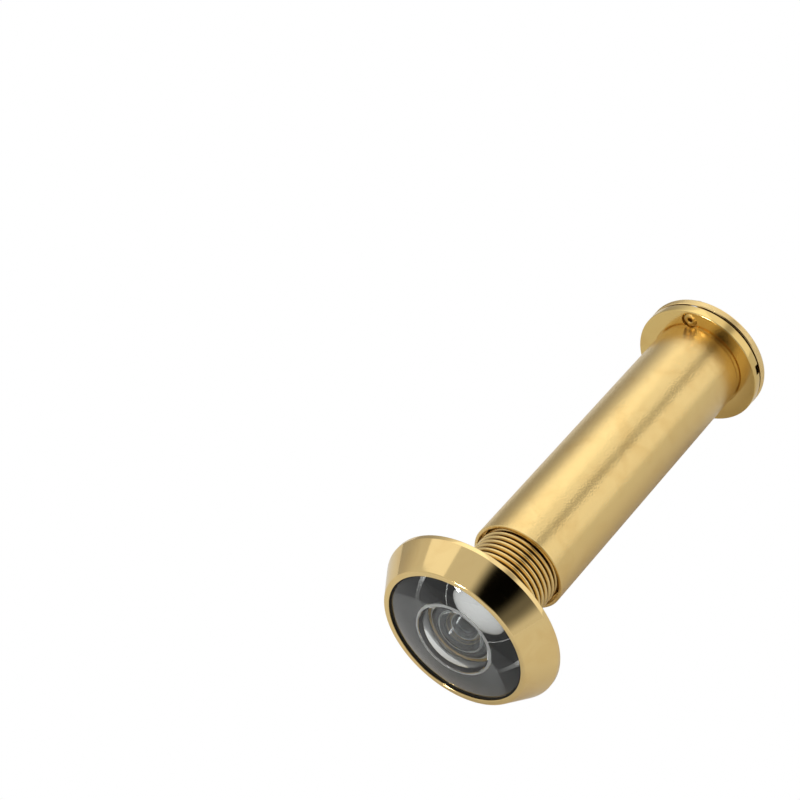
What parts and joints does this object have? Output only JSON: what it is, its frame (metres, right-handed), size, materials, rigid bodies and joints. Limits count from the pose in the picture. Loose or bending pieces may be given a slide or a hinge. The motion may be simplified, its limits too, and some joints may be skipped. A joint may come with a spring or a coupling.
{
  "type": "door viewer",
  "caption": "Wide-angle door viewer: domed-lens bezel on a threaded barrel, screwed into a slotted flanged sleeve with a swinging round cover.",
  "frame": {"origin": "on the optical axis, at the outside half's seat (the door's outer face)", "axes": "+Y along the optical axis from the outside to the inside, +Z towards the cover's pivot, +X to the right seen from outside"},
  "size_m": [0.0308, 0.0812, 0.0308],
  "materials": {
    "polished_brass": "turned and polished brass",
    "satin_brass": "satin turned brass",
    "optical_glass": "polished clear optical glass",
    "black_rubber": "matte black rubber",
    "black_plastic": "matte black moulded plastic",
    "spring_steel": "bright steel washer"
  },
  "bodies": {
    "outside_half": {"objective_housing": "polished_brass", "front_lens": "optical_glass", "lens_gasket": "black_rubber", "light_seal_washer": "black_plastic", "second_lens": "optical_glass", "lens_spacer": "satin_brass", "third_lens": "optical_glass", "aperture_ring": "black_plastic"},
    "eyepiece": {"eyepiece_cell": "black_plastic", "eyepiece_lens": "optical_glass", "eyepiece_retaining_ring": "satin_brass"},
    "inside_half": {"inner_sleeve": "satin_brass", "pivot_rivet": "polished_brass", "pivot_washer": "spring_steel"},
    "cover": {"privacy_cover": "polished_brass", "cover_knob": "polished_brass"}
  },
  "joints": [
    {"name": "screw_advance", "type": "slide", "parent": "outside_half", "child": "eyepiece", "axis": [0, 1, 0], "range_m": [-0.01151, 0.00851]},
    {"name": "screw_turn", "type": "hinge", "parent": "eyepiece", "child": "inside_half", "pos_m": [0, 0.0676, 0], "axis": [0, 1, 0], "range_deg": [-4140, 3060]},
    {"name": "cover_swing", "type": "hinge", "parent": "inside_half", "child": "cover", "pos_m": [0, 0.06964, 0.00914], "axis": [0, 1, 0], "continuous": true}
  ],
  "couplings": [
    {"joint": "screw_advance", "follows": "screw_turn", "m_per_rad": 0.00015915}
  ]
}
